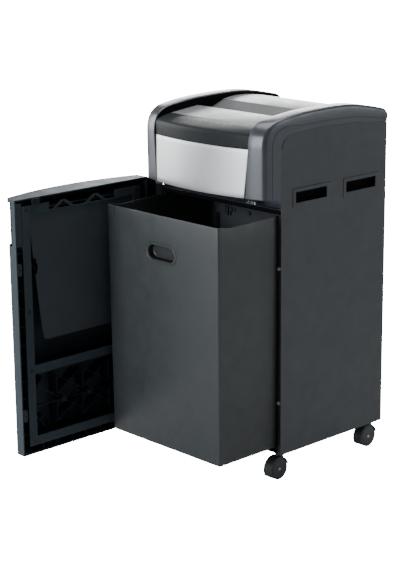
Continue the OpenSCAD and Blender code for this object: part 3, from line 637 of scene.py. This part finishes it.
def make_bin():
    """Thin tapered bin with a dipped rim, and the moulded pocket behind its finger hole."""
    y0, y1, z0, z1 = BIN_LOW.y, BIN_HIGH.y, BIN_LOW.z, BIN_HIGH.z
    half, wall, taper = BIN_HIGH.x, 2.6, 2.5
    rings = []
    for z, inset, radius, dip in (
            (z0, 5 + taper, 4, 0), (z0 + 1.5, 2 + taper, 4, 0), (z0 + 5, taper, 4, 0),
            (z1 - 60, 0.3, 4, 0), (z1 - 1, 0, 4, 1), (z1 - 0.3, 0.3, 3.8, 1), (z1, 1, 3.5, 1),
            (z1, wall - 0.7, 2.2, 1), (z1 - 0.6, wall, 1.8, 1), (z1 - 60, wall + 0.3, 1.8, 0),
            (z0 + 7, wall + taper, 1.8, 0), (z0 + wall, wall + taper + 4, 1.8, 0)):
        rings.append(round_rect(half - inset, y0 + inset, y1 - inset * 0.6, z, radius,
                                radius + 16, dip))
    shell = loft("waste_bin", rings, "bin_plastic")
    hole = loft("tool", [[(x, y, GRIP_Z + z) for x, z in stadium(*GRIP)]
                         for y in (y0 - 5, y0 + 9)], "bin_plastic")
    slit = block("tool", *SLIT_X, y0 - 3, y0 + 8, 592, z1 + 2, "bin_plastic")
    cut(shell, hole, slit)
    pocket = []
    for grow, depth in ((6.6, 0.5), (6.4, -0.5), (5.8, -1.0), (4.9, -0.9), (4.3, -0.2),
                        (1.6, -0.1), (0.9, -0.6), (0.2, -0.4), (-0.3, 0.8), (-0.8, 9),
                        (-2.2, 12.2), (-5, 13.2)):
        pocket.append([(x, y0 + 0.4 + depth, GRIP_Z + z)
                       for x, z in stadium(GRIP[0] + 2 * grow, GRIP[1] + 2 * grow)])
    behind = [[(x, y0 + depth, GRIP_Z + z)
               for x, z in stadium(GRIP[0] + 2 * grow, GRIP[1] + 2 * grow)]
              for grow, depth in ((-5, 16), (1, 13), (2, 2))]
    grip = loft("bin_grip", pocket + behind, "bin_plastic", caps=False)
    floor_n = len(pocket[0])
    grip_mesh = bmesh.new()
    grip_mesh.from_mesh(grip.data)
    grip_mesh.verts.ensure_lookup_table()
    last = (len(pocket) - 1) * floor_n
    grip_mesh.faces.new([grip_mesh.verts[last + k] for k in range(floor_n)])
    grip_mesh.faces.new([grip_mesh.verts[last + floor_n + k] for k in reversed(range(floor_n))])
    bmesh.ops.recalc_face_normals(grip_mesh, faces=grip_mesh.faces)
    grip_mesh.to_mesh(grip.data)
    grip_mesh.free()
    return shell, baked(grip, 45)


bin_shell, bin_grip = make_bin()
done(bin_shell, "bin", "bin_shell")
done(bin_grip, "bin")


def make_bin_tabs():
    """Raised field on the rear wall with clip tabs and hooks, which hold a waste bag."""
    y1 = BIN_HIGH.y - 2.9
    # the field and the tabs take the lighter bin_back_lit colour as painted light
    parts = [eased(block("field", -147, 152, y1 - 0.7, y1, 140, BIN_HIGH.z - 3, "bin_back_lit"),
                   0.4, 2)]
    for x0, x1, z0, z1, deep in ((-158, -127, 547, 571, 3), (-121, -117, 545, 566, 6),
                                 (-113, -105, 556, 566, 5), (-113, -109, 545, 556, 5),
                                 (-99, -95.5, 557, 563, 4), (-53, -46, 555, 564, 5),
                                 (46, 53, 555, 564, 5), (105, 121, 545, 566, 5)):
        parts.append(eased(block("tab", x0, x1, y1 - deep, y1, z0, z1, "bin_back_lit"), 0.7, 2))
    return joined("bag_tabs", parts)


done(make_bin_tabs(), "bin")


# ---------------------------------------------------------------- door
PIN = [(a + b) / 2 / MM for a, b in zip(*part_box("hinge_pins"))]
DOOR_IN = (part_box("door_frame")[1].x / MM - PIN[0]) + PIN[1]   # inner face of the shut door


def opened(x, y, z):
    """Where a point of the shut door stands with the door open at a right angle."""
    return PIN[0] + y - PIN[1], PIN[1] + PIN[0] - x, z


def rib(x0, z0, x1, z1, depth, top, thick=1.6, steps=6):
    """Thin rib of the door moulding between two points, seen from inside, down to the skin."""
    long = math.hypot(x1 - x0, z1 - z0)
    sx, sz = -(z1 - z0) / long * thick / 2, (x1 - x0) / long * thick / 2
    rings = []
    for i in range(steps + 1):
        t = i / steps
        x, z = x0 + (x1 - x0) * t, z0 + (z1 - z0) * t
        low = max(top - depth, bow(x) + 2.7)
        rings.append([opened(x - sx, low, z - sz), opened(x + sx, low, z + sz),
                      opened(x + sx * 0.7, top, z + sz * 0.7),
                      opened(x - sx * 0.7, top, z - sz * 0.7)])
    return loft("rib", rings, "door_inside")


def make_door_lattice():
    """Braced ribs and screw bosses in the lower bay of the door."""
    top = DOOR_IN - 14
    parts = []
    for x in (78, 2, -74):
        for z in (190, 126):
            parts.append(rib(x, z, x, z + 44, 30, top))
            parts.append(rib(x, z, x - 64, z + 43, 30, top))
    for x in (59, -16.5, -92):
        parts.append(rib(x - 50, 141, min(x + 85, 144), 173 + 0.64 * min(85, 144 - x), 12, top))
        parts.append(rib(x + 76, 173.5, x + 7, 173.5, 8, top - 1))
        for radius, sink in ((6.5, 34), (3, 3)):
            circle = [(radius * math.cos(a), radius * math.sin(a))
                      for a in (math.radians(d) for d in range(0, 360, 20))]
            slot = "door_inside" if radius > 4 else "black_plastic"
            parts.append(loft("boss", [[opened(x + u, y, 173 + v) for u, v in circle]
                                       for y in (top + 1.5 - sink, top + 1.5 + (radius < 4))],
                              slot))
    for x, z, u, v in ((144, 205, 118, 240), (144, 160, 112, 118), (144, 124, 118, 152)):
        parts.append(rib(x, z, u, v, 20, top))
    return joined("door_lattice", parts)


done(make_door_lattice(), "door")


def make_grip_slit_shade():
    """Near-black sheet behind the slit in the door's free end: painted shade in the finger recess.
    """
    low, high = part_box("door_grip")
    y0 = low.x / MM - 0.2
    z0, z1 = low.z / MM + 1, high.z / MM - 0.5
    end = low.y / MM
    return eased(block("grip_slit_shade", y0, y0 + 7, end - 1.6, end - 0.1, z0, z1,
                       "black_and_painted_shade"), 0.3, 2)


done(make_grip_slit_shade(), "door")


def on_door(name, x0, x1, y0, y1, z0, z1, look):
    """Block on the open door, given where it stands on the shut one."""
    (ax, ay, az), (bx, by, bz) = opened(x0, y0, z0), opened(x1, y1, z1)
    return block(name, min(ax, bx), max(ax, bx), min(ay, by), max(ay, by), az, bz, look)


def make_door_hooks():
    """Black hooks at the edges of the liner, and the screw in each grey pad."""
    parts = []
    for side in (1, -1):
        for x0, x1, z0, z1 in ((132, 139, 500, 514), (128.5, 134.5, 484, 503),
                               (131, 137, 479, 488)):
            a, b = sorted((side * x0, side * x1))
            parts.append(eased(on_door("hook", a, b, DOOR_IN - 6, DOOR_IN - 2.5, z0, z1,
                                       "black_and_painted_shade"), 1.2, 2))
    for z in (163, 495):
        parts.append(eased(on_door("pad_screw", 175.8, 178.2, DOOR_IN - 1, DOOR_IN + 0.4, z - 1.4,
                                   z + 1.4, "black_and_painted_shade"), 0.5, 2))
    return joined("door_hooks", parts)


done(make_door_hooks(), "door")


def make_ledge():
    """Plate on the crossbar's top above the bin's rim, with a sheet on the wall of the gap below
    the head, both lighter than the near-black crossbar as painted light on its top.
    """
    low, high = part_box("front_crossbar")
    step = low.z / MM + 9.6
    x0, x1 = low.x / MM + 0.4, high.x / MM - 0.4
    plate = eased(block("plate", x0, x1, low.y / MM + 0.4, high.y / MM - 1.7, step, step + 0.8,
                        "ledge_lit_paint"), 0.3, 2)
    wall = eased(block("wall", x0, x1, high.y / MM - 2.4, high.y / MM - 1.6, step + 0.8,
                       HEAD_Z - 1, "ledge_lit_paint"), 0.3, 2)
    return joined("crossbar_ledge", [plate, wall])


def make_strike():
    """Small bright catch on the ledge, which the door's latch closes on."""
    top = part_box("front_crossbar")[0].z / MM + 10.5
    parts = [eased(block("seat", 76, 106, -166, -154, top, top + 1.6, "zinc_steel"), 0.6, 2)]
    for x in (82, 92, 101):
        parts.append(eased(block("tooth", x - 2.6, x + 2.6, -165, -157, top + 1.6, top + 5.4,
                                 "zinc_steel"), 1.2, 3))
    return joined("strike_catch", parts)


done(make_ledge(), "cabinet")
done(make_strike(), "cabinet")

PIN_TOP = 632                                          # top of the hinge's upper plain strip
HEAD_CLEAR = HEAD_Z - 5
DOOR_EDGE = -189.2                                     # x of the shut door's hinge edge
done(eased(on_door("hinge_leaf_tip", PIN[0] - 11, DOOR_EDGE, PIN[1] + 1, PIN[1] + 3.5, PIN_TOP,
                   HEAD_CLEAR + 2.5, "door_inside"), 0.4, 2), "door")
done(eased(block("hinge_post_tip", PIN[0] - 6, -HALF_W - 0.4, FRONT_Y - 3, FRONT_Y,
                 PIN_TOP - 4, HEAD_CLEAR, "door_inside"), 0.4, 2), "cabinet")


# ---------------------------------------------------------------- everything carried over
# front_crossbar and head_chassis take the near black as painted shade under the head and in the
# paper slots
OWN_LOOK = {"door_screws": "door_screw", "door_ribs": "door_inside", "door_pads": "door_plastic",
            "door_latch": "door_inside", "front_crossbar": "black_and_painted_shade",
            "head_chassis": "black_and_painted_shade", "door_hinge_knuckles": "door_inside",
            "cabinet_hinge_brackets": "black_and_painted_shade", "throat_guide": "step_wall"}
for part in frame["record"]["subparts"]:
    node = frame["nodes"][part["node"]]
    paint(node, OWN_LOOK.get(part["node"], part["material_slot"]))


# ---------------------------------------------------------------- floor, lights, world
PAPER = 0.6                                            # how much light the floor gives back
LENS_LIFT = 26                                         # glow of the floor for the lens only
WORLD_LIGHT = 0.23


def make_floor():
    """White studio sweep, lifted a little for the lens so that it stays pale to the horizon."""
    reach = 60000
    sheet = new_mesh("floor", [(-reach, -reach, 0), (reach, -reach, 0), (reach, reach, 0),
                               (-reach, reach, 0)], [(0, 1, 2, 3)], "silver")
    paper = bpy.data.materials.new("studio_paper")
    paper.use_nodes = True
    tree = paper.node_tree
    shader = tree.nodes["Principled BSDF"]
    shader.inputs["Base Color"].default_value = (PAPER, PAPER, PAPER, 1)
    shader.inputs["Roughness"].default_value = 0.95
    shader.inputs["Emission Color"].default_value = (1, 1, 1, 1)
    seen = tree.nodes.new("ShaderNodeLightPath")
    lift = tree.nodes.new("ShaderNodeMath")
    lift.operation = "MULTIPLY"
    lift.inputs[1].default_value = LENS_LIFT
    tree.links.new(seen.outputs["Is Camera Ray"], lift.inputs[0])
    tree.links.new(lift.outputs[0], shader.inputs["Emission Strength"])
    sheet.data.materials.clear()
    sheet.data.materials.append(paper)


make_floor()
world = bpy.data.worlds.new("studio")
bpy.context.scene.world = world
world.use_nodes = True
world.node_tree.nodes["Background"].inputs["Color"].default_value = (1, 1, 1, 1)
world.node_tree.nodes["Background"].inputs["Strength"].default_value = WORLD_LIGHT


def softbox(name, place, target, size, power):
    """Rectangular lamp at a place, turned to a target. Metres and watts."""
    lamp = bpy.data.lights.new(name, "AREA")
    lamp.shape = "RECTANGLE"
    lamp.size, lamp.size_y = size
    lamp.energy = power
    obj = bpy.data.objects.new(name, lamp)
    bpy.context.scene.collection.objects.link(obj)
    obj.location = place
    aim = Vector(target) - Vector(place)
    obj.rotation_euler = aim.to_track_quat("-Z", "Y").to_euler()


softbox("left", (-3.0, -1.5, 1.35), (0, -0.2, 0.6), (1.6, 2.2), 108)
softbox("front", (-0.5, -3.5, 1.2), (0, -0.3, 0.5), (1.5, 2.0), 98)
softbox("top", (-0.2, 0.2, 2.9), (0, 0, 0.7), (2.2, 2.2), 70)
softbox("rear", (-2.3, 2.3, 1.4), (0, 0, 0.8), (1.8, 1.2), 55)
softbox("fill", (2.7, 2.6, 1.5), (0.1, -0.1, 0.5), (1.4, 2.0), 28)
